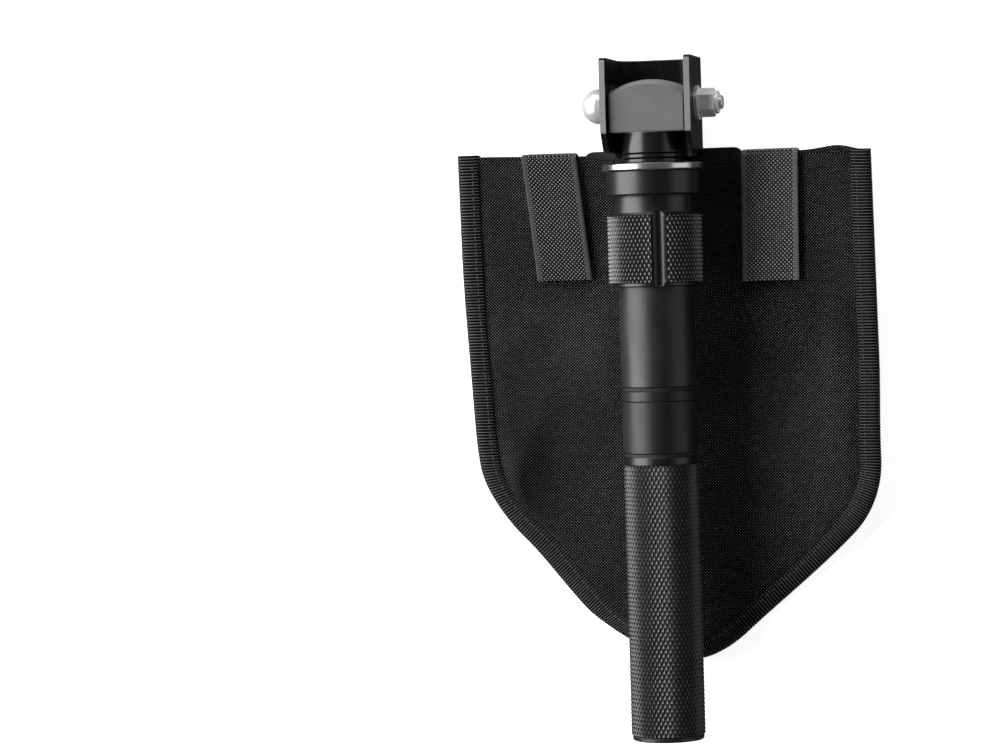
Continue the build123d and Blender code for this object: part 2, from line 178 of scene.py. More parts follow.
class Finish:
    """A procedural material: a Principled shader and the nodes that feed it."""

    def __init__(self, name, color, roughness, metallic=0.0, **sockets):
        self.material = bpy.data.materials.new(name)
        self.material.use_nodes = True
        self.tree = self.material.node_tree
        self.shader = self.tree.nodes["Principled BSDF"]
        self.shader.inputs["Base Color"].default_value = (*color, 1)
        self.shader.inputs["Roughness"].default_value = roughness
        self.shader.inputs["Metallic"].default_value = metallic
        for key, value in sockets.items():
            self.shader.inputs[key.replace("_", " ")].default_value = value
        self.place = self.node("ShaderNodeTexCoord").outputs["Object"]

    def node(self, kind, inputs=None, **settings):
        made = self.tree.nodes.new(kind)
        for key, value in settings.items():
            setattr(made, key, value)
        for key, value in (inputs or {}).items():
            if isinstance(value, bpy.types.NodeSocket):
                self.tree.links.new(value, made.inputs[key])
            else:
                made.inputs[key].default_value = value
        return made

    def math(self, operation, first, second=0.5):
        return self.node("ShaderNodeMath", {0: first, 1: second}, operation=operation).outputs[0]

    def split(self):
        return self.node("ShaderNodeSeparateXYZ", {0: self.place}).outputs

    def noise(self, scale, detail=3.0, stretch=(1, 1, 1), roughness=0.5):
        moved = self.node("ShaderNodeMapping", {"Vector": self.place, "Scale": stretch})
        inputs = {"Vector": moved.outputs[0], "Scale": scale, "Detail": detail, "Roughness": roughness}
        return self.node("ShaderNodeTexNoise", inputs).outputs["Fac"]

    def spread(self, value, low, high, out_low=0.0, out_high=1.0):
        """Map a value's range to another, held at its ends."""
        inputs = {0: value, 1: low, 2: high, 3: out_low, 4: out_high}
        return self.node("ShaderNodeMapRange", inputs).outputs[0]

    def color(self, share, low, high):
        mixed = self.node("ShaderNodeMix", {"Factor": share}, data_type="RGBA")
        mixed.inputs[6].default_value = (*low, 1)
        mixed.inputs[7].default_value = (*high, 1)
        self.tree.links.new(mixed.outputs[2], self.shader.inputs["Base Color"])

    def roughness(self, value):
        self.tree.links.new(value, self.shader.inputs["Roughness"])

    def bump(self, *layers):
        """Bump layers, each a height and its depth in millimetres."""
        normal = None
        for height, depth in layers:
            inputs = {"Height": height, "Distance": depth * MM, "Strength": 1.0}
            if normal:
                inputs["Normal"] = normal
            normal = self.node("ShaderNodeBump", inputs).outputs["Normal"]
        self.tree.links.new(normal, self.shader.inputs["Normal"])


def grey(value):
    """A neutral colour, a touch cool."""
    return (value, value, value * 1.02)


def turned_metal(name, low, high, roughness, metallic=0.0, depth=0.004, **sockets):
    """Metal turned on a lathe about Y: fine rings, faint smears and small colour changes."""
    finish = Finish(name, grey(low), roughness, metallic, **sockets)
    rings = finish.noise(60, 2.0, (0.3, 60, 0.3))
    smears = finish.noise(90, 4.0, (1, 0.4, 1))
    finish.color(finish.spread(smears, 0.35, 0.65), grey(low), grey(high))
    finish.roughness(finish.spread(smears, 0.3, 0.7, roughness * 0.85, roughness * 1.2))
    finish.bump((rings, depth))
    return finish.material


def knurled_metal(name, low, crest, crest_from, roughness, **sockets):
    """Anodised metal, paler along the crests of its knurl: partly wear on the crests, partly painted shade
    darkening the grooves.
    """
    finish = Finish(name, grey(low), roughness, **sockets)
    crown = finish.node("ShaderNodeAttribute", attribute_name="crown").outputs["Fac"]
    smears = finish.spread(finish.noise(90, 4.0), 0.3, 0.7, 0.5, 1.0)
    # crests paler than grooves: wear on the crests and painted shade in the grooves
    paling = finish.math("MULTIPLY", finish.spread(crown, crest_from, 1.0), smears)
    finish.color(paling, grey(low), grey(crest))
    finish.bump((finish.noise(60, 2.0, (0.3, 60, 0.3)), 0.002))
    return finish.material


def block_metal(name, neck, flat, dome, roughness):
    """Milled pivot block in black anodising: a dark turned neck, a head painted pale to stand in for the
    light its front flat reflects, and a turned dome paler still, a painted highlight.
    """
    finish = Finish(name, grey(flat), roughness, IOR=1.6)
    y, z = finish.split()[1:]
    neck_y, dome_y, flat_z = PIVOT.y + NECK_END, PIVOT.y + DOME_START, PIVOT.z + FLAT_TOP
    above = finish.spread(y, (neck_y - 0.2) * MM, (neck_y + 0.1) * MM)
    domed = finish.spread(y, (dome_y - 0.5) * MM, (dome_y + 0.5) * MM)
    behind = finish.spread(z, (flat_z + 0.15) * MM, (flat_z - 0.15) * MM)
    turned = finish.math("MULTIPLY", domed, behind)
    smears = finish.spread(finish.noise(70, 4.0), 0.3, 0.7, 0.85, 1.05)
    # shade is the head's tone: pale as a painted reflection of the light above the front flat
    shade = finish.math("MULTIPLY", finish.math("MULTIPLY", above, smears), flat)
    # lift makes the dome paler still: a painted highlight
    lift = finish.math("MULTIPLY", turned, dome - flat)
    tone = finish.math("ADD", lift, finish.math("ADD", shade, neck))
    rgb = finish.node("ShaderNodeCombineXYZ", {0: tone, 1: tone, 2: tone}).outputs[0]
    finish.tree.links.new(rgb, finish.shader.inputs["Base Color"])
    finish.roughness(finish.spread(above, 0, 1, 0.26, roughness))
    lines, grain = finish.noise(70, 2.0, (0.4, 30, 0.4)), finish.noise(4000, 2.0)
    finish.bump((lines, 0.006), (grain, 0.005))
    return finish.material


def coated_steel(name, low, high, roughness, peel, highlight_corner):
    """Powder-coated steel: orange peel, scratches, faint wear patches, and its top and front edges at the
    given far corner painted pale, a painted highlight.
    """
    finish = Finish(name, grey(low), roughness, Specular_IOR_Level=0.15)
    skin = finish.noise(900, 2.0)
    paling = finish.noise(45, 5.0, roughness=0.65)
    scratches = finish.noise(260, 3.0, (6, 0.25, 1))
    pale_share = finish.math("MULTIPLY", finish.spread(paling, 0.45, 0.75), 0.03)
    # painted highlight: the top and front edges at the far corner set pale
    for axis in (1, 2):
        edge = finish.spread(finish.split()[axis], (highlight_corner[axis] - 0.5) * MM, (highlight_corner[axis] - 0.2) * MM)
        pale_share = finish.math("MAXIMUM", pale_share, edge)
    finish.color(pale_share, grey(low), grey(high))
    finish.roughness(finish.spread(scratches, 0.3, 0.75, roughness * 0.8, roughness * 1.25))
    finish.bump((skin, peel), (scratches, 0.004))
    return finish.material


def ground_blade(name, coat, steel, roughness):
    """Coated blade, scuffed by digging, with its cutting edge ground bright along the sides."""
    finish = Finish(name, grey(coat), roughness)
    x, y = finish.split()[:2]
    out = finish.math("ABSOLUTE", x)
    beside = finish.math("SUBTRACT", size_of("blade")[1].x * MM, out)
    apex = (PIVOT.y + COVER_APEX + BLADE_MARGIN * math.sqrt(2)) * MM
    above = finish.math("SUBTRACT", finish.math("SUBTRACT", y, apex), out)
    edge = finish.math("MINIMUM", beside, finish.math("MULTIPLY", above, math.sqrt(0.5)))
    wander = finish.spread(finish.noise(60, 3.0), 0.3, 0.7, -0.6 * MM, 0.6 * MM)
    ground = finish.spread(finish.math("ADD", edge, wander), EDGE_GRIND * MM, (EDGE_GRIND - 0.4) * MM)
    scuffs = finish.spread(finish.noise(120, 5.0, (5, 0.3, 1), 0.7), 0.62, 0.78, 0.0, 0.25)
    pale_share = finish.math("MAXIMUM", ground, scuffs)
    finish.color(pale_share, grey(coat), grey(steel))
    finish.tree.links.new(ground, finish.shader.inputs["Metallic"])
    finish.roughness(finish.spread(finish.noise(45, 4.0), 0.3, 0.7, roughness * 0.85, roughness * 1.2))
    skin, grinding = finish.noise(900, 2.0), finish.noise(500, 2.0, (0.2, 4, 1))
    finish.bump((skin, 0.02), (pale_share, -0.03), (grinding, 0.004))
    return finish.material


def moulded(name, low, high, roughness):
    """Rubber or nylon with a fine matt grain."""
    finish = Finish(name, grey(low), roughness)
    grain = finish.noise(2500, 3.0)
    finish.color(finish.noise(120, 3.0), grey(low), grey(high))
    finish.bump((grain, 0.02))
    return finish.material


def woven(name, pitch, low, high, depth):
    """Coated cloth in a plain weave along X and Y: warp floats stand out over the weft; colour rises steeply
    with thread height, a painted glint on the floats and painted shade in the gaps.
    """
    finish = Finish(name, grey(low), 0.7, Specular_IOR_Level=0.06)
    wander = finish.math("MULTIPLY", finish.noise(25, 2.0), 2.0)
    floats = []
    for coordinate in finish.split()[:2]:
        threads = finish.math("ADD", finish.math("MULTIPLY", coordinate, 1 / (pitch * MM)), wander)
        floats.append(finish.math("SINE", finish.math("MULTIPLY", threads, math.pi)))
    product = finish.math("MULTIPLY", *floats)
    warp = finish.math("MAXIMUM", product, 0.0)
    weft = finish.math("MAXIMUM", finish.math("MULTIPLY", product, -0.3), 0.0)
    height = finish.math("ADD", warp, weft)
    slubs = finish.spread(finish.noise(300, 3.0, (1, 5, 1)), 0.3, 0.7, 0.6, 1.2)
    wear = finish.spread(finish.noise(22, 4.0), 0.32, 0.68, 0.62, 1.2)
    # painted glint on the high floats and painted shade in the low gaps
    glint_and_gap_shade = finish.math("MULTIPLY", finish.math("POWER", height, 3.2), slubs)
    finish.color(finish.math("MULTIPLY", glint_and_gap_shade, wear), grey(low), grey(high))
    finish.bump((height, depth), (finish.noise(5000, 2.0), 0.02))
    return finish.material


def yarn(name, low, high, shaded=None):
    """Spun yarn with fine fibres, darkened as painted shade where its weave stands up less than the shaded
    level.
    """
    finish = Finish(name, grey(low), 0.65, Specular_IOR_Level=0.08)
    fibres = finish.noise(3500, 3.0)
    strands = finish.spread(fibres, 0.3, 0.7, 0.5, 1.1)
    if shaded:
        crown = finish.node("ShaderNodeAttribute", attribute_name="crown").outputs["Fac"]
        # painted shade: the low parts of the weave darkened, the crowns left pale
        strands = finish.math("MULTIPLY", strands, finish.spread(crown, shaded, 1.0))
    finish.color(strands, grey(low), grey(high))
    finish.bump((fibres, 0.05))
    return finish.material


ANODISED = turned_metal("anodised_black", 0.007, 0.012, 0.36, depth=0.003, IOR=1.6)
TUBE_SATIN = turned_metal("anodised_tube_satin", 0.008, 0.014, 0.43, depth=0.003, IOR=1.6)
COUPLER_SATIN = turned_metal("anodised_coupler_satin", 0.007, 0.012, 0.43, depth=0.003, IOR=1.5)
BAND_KNURL = knurled_metal("anodised_band_knurl", 0.006, 0.55, 0.5, 0.34, IOR=1.6)
GRIP_KNURL = knurled_metal("anodised_grip_knurl", 0.006, 0.13, 0.45, 0.34, IOR=1.6)
BLOCK = block_metal("anodised_block_black", 0.008, 0.16, 0.26, 0.42)
POLISHED = turned_metal("polished_steel", 0.88, 0.95, 0.24, 1.0, depth=0.0006)
PLATED = turned_metal("plated_steel", 0.74, 0.82, 0.22, 0.45, depth=0.001)
# The nut alone gets a paler, less metallic copy of the plated steel: painted light standing in for the front
# light its faces don't get.
NUT_PAINTED_LIGHT = turned_metal("plated_steel_nut_painted_light", 0.92, 0.97, 0.22, 0.1, depth=0.001)
YOKE_COAT = coated_steel("yoke_black_coat", 0.006, 0.27, 0.3, 0.012, size_of("yoke")[1])
BLADE_COAT = ground_blade("blade_black_coat", 0.012, 0.3, 0.38)
RUBBER = moulded("black_rubber", 0.008, 0.014, 0.65)
NYLON = moulded("black_nylon", 0.015, 0.025, 0.5)
OXFORD = woven("oxford_cloth", 0.66, 0.0, 0.52, 0.25)
TAPE = yarn("binding_tape_yarn", 0.001, 0.2, 0.6)
# The right strap's yarn is painted paler than the left's: painted light standing in for the sheen it catches;
# the two are the same webbing.
WEBBING = {
    "left": yarn("webbing_yarn_left", 0.003, 0.52, 0.22),
    "right": yarn("webbing_yarn_right_painted_paler", 0.006, 0.85, 0.15),
}
THREAD = yarn("sewing_thread", 0.03, 0.1)
HOOKS = yarn("hook_and_loop", 0.012, 0.03)

NODE_FINISHES = {
    "blade": BLADE_COAT,
    "yoke": YOKE_COAT,
    "yoke_rivets": PLATED,
    "pivot_bolt": PLATED,
    "pivot_washer": PLATED,
    "pivot_nut": NUT_PAINTED_LIGHT,
    "friction_washer_left": NYLON,
    "friction_washer_right": NYLON,
    "pivot_block": BLOCK,
    "thrust_ring": POLISHED,
    "upper_tube": TUBE_SATIN,
    "coupler": COUPLER_SATIN,
    "end_cap": ANODISED,
    "coupler_seal": RUBBER,
    "grip_seal": RUBBER,
    "cap_seal": RUBBER,
}
for node, finish in NODE_FINISHES.items():
    frame["nodes"][node].data.materials.clear()
    frame["nodes"][node].data.materials.append(finish)


# --- knurled parts ------------------------------------------------------------------------

def turned_part(name, before, knurl, after, columns, material):
    """A turned ring with a diamond knurl between two plain profiles of (station, radius).

    Every other point of the knurl is a crest, and each row is half a diamond on from the last."""
    start, end, rows, peak, depth = knurl
    angles = np.arange(columns) * 2 * math.pi / columns
    rings = [(s, np.full(columns, r)) for s, r in before]
    crown = [0.0] * (len(before) * columns)
    for row in range(rows + 1):
        tip = (np.arange(columns) + row) % 2 == 1
        rings.append((start + (end - start) * row / rows, np.where(tip, peak, peak - depth)))
        crown += list(tip.astype(float))
    rings += [(s, np.full(columns, r)) for s, r in after]
    crown += [0.0] * (len(after) * columns)
    points = [
        (r * math.sin(a), PIVOT.y - s, PIVOT.z + r * math.cos(a))
        for s, radii in rings
        for r, a in zip(radii, angles)
    ]
    faces = []
    first = len(before)
    for quad_index, quad in enumerate(grid_faces(len(rings), columns, True, True)):
        row, column = divmod(quad_index, columns)
        if not first <= row < first + rows:
            faces.append(quad)
        elif (column + row - first) % 2 == 0:
            faces += [(quad[0], quad[1], quad[2]), (quad[0], quad[2], quad[3])]
        else:
            faces += [(quad[0], quad[1], quad[3]), (quad[1], quad[2], quad[3])]
    return make_piece(name, points, faces, material, 12, crown)


def flute_cutter(angle):
    """A bar with round ends, laid along the handle."""
    columns, steps = 32, 8
    profile = [
        (FLUTE_START - FLUTE_R * math.cos(t), FLUTE_R * math.sin(t))
        for t in np.linspace(0, math.pi / 2, steps)
    ]
    profile += [
        (FLUTE_END + FLUTE_R * math.sin(t), FLUTE_R * math.cos(t))
        for t in np.linspace(0, math.pi / 2, steps)
    ]
    a = math.radians(angle)
    centre_x, centre_z = FLUTE_CENTRE * math.sin(a), PIVOT.z + FLUTE_CENTRE * math.cos(a)
    points = [
        (centre_x + r * math.cos(t), PIVOT.y - s, centre_z + r * math.sin(t))
        for s, r in profile[1:-1]
        for t in np.arange(columns) * 2 * math.pi / columns
    ]
    rows = len(profile) - 2
    faces = grid_faces(rows, columns, False, True)
    points += [(centre_x, PIVOT.y - profile[end][0], centre_z) for end in (0, -1)]
    for c in range(columns):
        c1 = (c + 1) % columns
        faces.append((c1, c, rows * columns))
        faces.append(((rows - 1) * columns + c, (rows - 1) * columns + c1, rows * columns + 1))
    return make_piece(f"flute_cutter_{angle}", points, faces, BAND_KNURL)


def make_lock_nut():
    """The nut with its flange, waist and lip, and round-ended flutes cut through its band."""
    start, end = stations_of("lock_nut")
    start += RING_GAP
    before = [
        (end, NUT_COUNTERBORE), (COUNTERBORE_START, NUT_COUNTERBORE), (BORE_END, NUT_BORE), (start, NUT_BORE),
        (start, FLANGE_R - 0.6), (start + 0.15, FLANGE_R - 0.2), (start + 0.5, FLANGE_R),
        (FLANGE_END - 0.5, FLANGE_R), (FLANGE_END - 0.15, FLANGE_R - 0.15), (FLANGE_END, FLANGE_R - 0.5),
    ]
    after = [
        (BAND_END + 0.2, LIP_R + 1.2), (BAND_END + 0.25, LIP_R + 0.15), (BAND_END + 0.55, LIP_R),
        (end - 0.5, LIP_R), (end - 0.12, LIP_R - 0.2), (end, LIP_R - 0.6),
    ]
    knurl = (BAND_START, BAND_END, BAND_ROWS, BAND_R, BAND_DEPTH)
    piece = turned_part("lock_nut_knurled", before + WAIST, knurl, after, 2 * BAND_DIAMONDS, BAND_KNURL)
    cutters = [flute_cutter(angle) for angle in FLUTE_ANGLES]
    for cutter in cutters:
        cut = piece.modifiers.new("flute", "BOOLEAN")
        cut.object, cut.operation, cut.solver = cutter, "DIFFERENCE", "EXACT"
    bpy.context.view_layer.update()
    apply_modifiers(piece)
    piece.data.set_sharp_from_angle(angle=math.radians(12))
    for cutter in cutters:
        bpy.data.objects.remove(cutter)
    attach(piece, "lock_nut")
    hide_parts("lock_nut")


def make_grip():
    """The grip tube, knurled but for a plain turned end."""
    start, end = stations_of("grip_tube")
    before = [
        (end, GRIP_BORE), (start, GRIP_BORE), (start, GRIP_END_R - 0.5), (start + 0.15, GRIP_END_R - 0.15),
        (start + 0.4, GRIP_END_R), (KNURL_START - 0.5, GRIP_END_R), (KNURL_START - 0.3, GRIP_END_R - 0.2),
    ]
    after = [(end - 0.15, GRIP_END_R - 0.2), (end, GRIP_END_R - 0.4)]
    knurl = (KNURL_START, end - 0.35, GRIP_ROWS, GRIP_R, GRIP_DEPTH)
    piece = turned_part("grip_tube_knurled", before, knurl, after, 2 * GRIP_DIAMONDS, GRIP_KNURL)
    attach(piece, "grip")
    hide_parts("grip_tube")


# --- cover --------------------------------------------------------------------------------

def dish(x, height):
    """Height of the dished section at x, for a surface this far above its back."""
    away = np.maximum(np.abs(x) - SPINE_HALF, 0)
    return DISH_Z - np.sqrt((DISH_Z - height) ** 2 - away**2)


def ease(value, start, end):
    """0 before start and 1 past end, eased between; end may be the lower."""
    share = np.clip((value - start) / (end - start), 0, 1)
    return share * share * (3 - 2 * share)


def bell(distance, width):
    """1 at no distance, falling to about a third at the width."""
    return np.exp(-((distance / width) ** 2))


def pulled(x, y):
    """Sideways shift of the loose cover's cloth: leaning, wider on the right, drawn in at the left."""
    left = -0.3 + 2.3 * ease(y, -60, -150) + 5.2 * bell(y + 182, 24.04) - 2.5 * ease(y, -190, -240)
    right = 2.9 - ease(y, -110, -150) - 8.0 * ease(y, -185, -245)
    share = (np.tanh(x / 25) + 1) / 2
    return COVER_LEAN * (FRONT_MOUTH - y) + left * (1 - share) + right * share


def raised(x, y):
    """How far the cover's left side and tip have ridden up, and the corners of its mouth hang down."""
    drop = CORNER_DROP * (ease(x, 62, 88) + 0.3 * ease(-x, 76, 88))
    rise = LEFT_RAISE * np.maximum(-x, 0) - drop
    tip = (TIP_RAISE - TIP_SKEW * np.tanh(x / 12)) * ease(y, -217, -238)
    return rise * ease(y, -90, FRONT_MOUTH) + tip


def lay(x, y, height):
    """Place cover points: x and y in the flat cover, y from the pivot, height off its back."""
    x, y = np.asarray(x, float), np.asarray(y, float)
    across = x + pulled(x, y)
    return np.stack([across, PIVOT.y + y + raised(x, y), dish(across, height)], axis=-1)


def outline(margin):
    """The cover's outline a margin inside its edge.

    Half its width, the apex its sides run to, the radii of its corners and tip, and their centres' y."""
    half, apex = COVER_HALF - margin, COVER_APEX + margin * math.sqrt(2)
    corner, tip = CORNER_R - margin, TIP_R - margin
    return half, apex, corner, tip, apex + half + corner * math.tan(math.pi / 8), apex + tip * math.sqrt(2)


def half_width(y, margin):
    """Half the cover's width at y, a margin inside its edge."""
    half, apex, corner, tip, corner_y, tip_y = outline(margin)
    if y >= corner_y:
        return half
    if y >= corner_y - corner * math.sin(math.pi / 4):
        return half - corner + math.sqrt(corner**2 - (y - corner_y) ** 2)
    if y >= tip_y - tip * math.cos(math.pi / 4):
        return y - apex
    return math.sqrt(max(tip**2 - (y - tip_y) ** 2, 0))


def arc(centre, radius, start, end, step):
    """Points of an arc with their outward normals, as (x, y, nx, ny)."""
    turns = np.arange(start, end, step / radius)
    out = np.stack([np.cos(turns), -np.sin(turns)], axis=1)
    return np.concatenate([np.array(centre) + radius * out, out], axis=1)


def straight(start, end, normal, step):
    """Points of a straight stretch with its outward normal, as (x, y, nx, ny)."""
    run = Vector(end) - Vector(start)
    shares = np.arange(0, run.length, step)[:, None] / run.length
    normals = np.tile(normal, (len(shares), 1))
    return np.concatenate([np.array(start) + shares * np.array(run), normals], axis=1)


def edge_path(margin, mouth, step):
    """Points along the cover's edge from the left mouth by the tip to the right, with inward normals."""
    half, apex, corner, tip, corner_y, tip_y = outline(margin)
    root, eighth = math.sqrt(0.5), math.pi / 4
    corner_end = (half - corner + corner * root, corner_y - corner * root)
    tip_start = (tip * root, tip_y - tip * root)
    right = np.concatenate([
        straight((half, mouth), (half, corner_y), (1, 0), step),
        arc((half - corner, corner_y), corner, 0, eighth, step),
        straight(corner_end, tip_start, (root, -root), step),
        arc((0, tip_y), tip, eighth, 2 * eighth, step),
    ])
    bottom = np.array([[0, tip_y - tip, 0, -1]])
    path = np.concatenate([right * (-1, 1, -1, 1), bottom, right[::-1]])
    return path[:, :2], -path[:, 2:]


def folds(x, y):
    """Soft hollows and tension folds of the front cloth, which lies nearly flat under handle and straps.

    What would sink into the blade is levelled out at the fold floor."""
    hollows = 0.7 * np.sin(x / 17 + 0.8 * np.sin(y / 31)) * np.sin(y / 37 + 1.2)
    ripples = 0.45 * np.sin(x / 9.5 + y / 46) * np.sin(y / 23 - x / 41)
    slanting = 1.3 * bell(x + y + 118, 7) * bell(x - 50, 22) - 1.1 * bell(x + y + 132, 7) * bell(x - 52, 20)
    beside_binding = 0.9 * bell(x - 71 - y / 60, 4) * bell(y + 95, 45)
    below_handle = 1.2 * bell(x - y / 2 - 6, 7) * bell(y + 165, 30)
    free = (0.15 + 0.85 * ease(np.abs(x), 18, 34)) * (0.2 + 0.8 * ease(y, -76, -90))
    total = FOLD_GAIN * (hollows + ripples + slanting + beside_binding + below_handle)
    resting = (total + np.sqrt(total**2 + 4 * FOLD_FLOOR**2)) / 2 - FOLD_FLOOR
    return resting * free


def panel_rows(mouth, apex):
    """Where a panel's rows lie, crowded towards its round tip."""
    body, tip_share = 116, 0.07
    tip = 1 - tip_share * np.linspace(1, 0, 18)[1:] ** 2
    return mouth + (apex + 0.02 - mouth) * np.concatenate([np.linspace(0, 1 - tip_share, body), tip])


def make_panel(name, node, mouth, middle_height, edge_height, loose):
    """A cover panel as one cloth sheet, drawn in at its bound edge; loose cloth swells and folds."""
    columns = 96
    apex = outline(PANEL_MARGIN)[5] - (TIP_R - PANEL_MARGIN)
    even = np.linspace(-1, 1, columns)
    across = np.sin(even * math.pi / 2) * 0.35 + even * 0.65
    rows = panel_rows(mouth, apex)
    points = []
    for y in rows:
        half = half_width(y, PANEL_MARGIN)
        x = across * half
        edge = np.minimum(half - np.abs(x), (y - apex + 4) * 0.9) + PANEL_MARGIN
        swell = FRONT_SWELL * ease(y, -80, -100) + folds(x, y) if loose else 0.0
        lip = 0.0 if loose else BACK_LIP * bell(x - LIP_X, LIP_WIDTH) * ease(y, -50, mouth)
        height = edge_height + (middle_height - edge_height + swell) * ease(edge, 7, 15)
        points.append(lay(x, y + lip + 0 * x, height))
    piece = make_piece(name, np.concatenate(points), grid_faces(len(rows), columns), OXFORD, 60)
    thick = piece.modifiers.new("thickness", "SOLIDIFY")
    thick.thickness = PANEL_T * MM
    thick.offset = 1 if loose else -1
    apply_modifiers(piece)
    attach(piece, "cover")
    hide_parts(node)
    return piece


# the tape's section as (distance in from the cover's edge, height), its outside from front to back
TAPE_OUTSIDE = [
    (BINDING_W, 5.2), (8.7, 5.5), (7.0, 5.35), (5.0, 5.4), (3.0, 5.2), (1.3, 4.5), (0.3, 3.4),
    (0.0, 2.4), (0.4, 1.2), (1.4, 0.4), (3.0, 0.1), (5.0, 0.0), (7.0, 0.0), (BINDING_W, 0.1),
]
TAPE_INSIDE = [(BINDING_W, 0.6), (5.0, 0.5), (2.0, 0.8), (0.8, 2.4), (2.0, 4.2), (5.0, 4.9), (BINDING_W, 4.7)]
TAPE_MIDDLE, TAPE_HEM = 2.4, 8.0


def tape_section(run):
    """The tape's section at a distance along it, with its rib and its wavy hem."""
    rib = RIB_HEIGHT * math.cos(2 * math.pi * run / RIB_PITCH)
    wave = 0.21 * math.sin(run / 19) + 0.12 * math.sin(run / 7.3 + 1)
    section = []
    for index, (inset, height) in enumerate(TAPE_OUTSIDE + TAPE_INSIDE):
        grow = rib if index < len(TAPE_OUTSIDE) else 0
        round_edge = 4 <= index <= 9
        up = grow * (0.4 if round_edge else 1.0) * (1 if height > TAPE_MIDDLE else -1)
        out = grow * (0.6 if round_edge else 0.1)
        section.append((inset - out + (wave if inset > TAPE_HEM else 0), max(height + up, -0.05)))
    return section


def make_binding():
    """Ribbed tape folded over the edge of both panels, and its length."""
    path, inward = edge_path(0, BACK_MOUTH + 0.8, RIB_PITCH / 4)
    steps = np.linalg.norm(np.diff(path, axis=0), axis=1)
    run = np.concatenate([[0], np.cumsum(steps)])
    around = len(TAPE_OUTSIDE + TAPE_INSIDE)
    points, crown = [], []
    for (x, y), (nx, ny), s in zip(path, inward, run):
        points += [(x + nx * inset, y + ny * inset, height) for inset, height in tape_section(s)]
        # crown is 1 on each rib's crest and 0 between ribs, where the tape's yarn paints shade
        crown += [(1 + math.cos(2 * math.pi * s / RIB_PITCH)) / 2] * around
    laid = lay(*np.array(points).T)
    faces = grid_faces(len(path), around, False, True)
    faces.append(tuple(range(around)))
    faces.append(tuple(reversed(range((len(path) - 1) * around, len(path) * around))))
    piece = make_piece("cover_binding_tape", laid, faces, TAPE, 70, crown)
    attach(piece, "cover")
    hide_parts("cover_binding")
    return piece, float(run[-1])


def make_stitches(name, centres, directions, up):
    """Thread stitches: short round-ended strands lying along a seam."""
    sides = 6
    shape = [(-0.5, 0.25, -0.9), (-0.42, 0.75, -0.25), (-0.2, 1.0, 0.0)]
    shape += [(-along, wide, drop) for along, wide, drop in reversed(shape)]
    points, faces = [], []
    for centre, forward in zip(centres, directions):
        side = np.cross(up, forward)
        base = len(points)
        for along, wide, drop in shape:
            for k in range(sides):
                a = 2 * math.pi * k / sides
                offset = side * math.cos(a) * wide + up * (math.sin(a) * wide + drop)
                points.append(centre + forward * along * STITCH_LENGTH + offset * STITCH_R)
        faces += [tuple(base + i for i in f) for f in grid_faces(len(shape), sides, False, True)]
        last = base + (len(shape) - 1) * sides
        faces += [tuple(range(base, base + sides)), tuple(reversed(range(last, last + sides)))]
    piece = make_piece(name, points, faces, THREAD, 60)
    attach(piece, "cover")
    return piece


def make_seam(name, height, up):
    """A row of stitches through the binding, all round the cover."""
    path = edge_path(STITCH_INSET, FRONT_MOUTH, STITCH_PITCH / 8)[0][::8]
    laid = lay(path[:, 0], path[:, 1], height)
    forward = np.gradient(laid, axis=0)
    forward /= np.linalg.norm(forward, axis=1)[:, None]
    return make_stitches(name, laid[1:-1], forward[1:-1], np.array([0.0, 0.0, up]))


# --- straps -------------------------------------------------------------------------------

def strap_line(side, step):
    """A strap's middle line as (y from the pivot, height off the cover's back), in even steps."""
    foot = BACK_MOUTH + FOOT_GAP
    middle, rise = (STRAP_BACK + STRAP_FRONT) / 2, (STRAP_FRONT - STRAP_BACK) / 2
    turn = np.linspace(0, math.pi, 200)
    course = np.concatenate([
        [(foot - STRAP_TAIL, STRAP_BACK)],
        np.stack([foot + ARC_REACH * np.sin(turn), middle - rise * np.cos(turn)], axis=1),
        [(foot - STRAP_LENGTH[side], STRAP_FRONT)],
    ])
    run = np.concatenate([[0], np.cumsum(np.linalg.norm(np.diff(course, axis=0), axis=1))])
    stops = np.arange(0, run[-1], step)
    return np.stack([np.interp(stops, run, course[:, 0]), np.interp(stops, run, course[:, 1])], axis=1)


def strap_spot(side, offset, y, height):
    """A point of a strap, this far across it."""
    middle = STRAP_X[side] + math.tan(STRAP_LEAN[side]) * (BACK_MOUTH - y)
    x = middle + np.asarray(offset, float)
    across = x + COVER_LEAN * (FRONT_MOUTH - y)
    ys = np.broadcast_to(PIVOT.y + y + raised(STRAP_X[side], y), x.shape)
    return np.stack([across, ys, dish(across, np.broadcast_to(height, x.shape))], axis=-1)


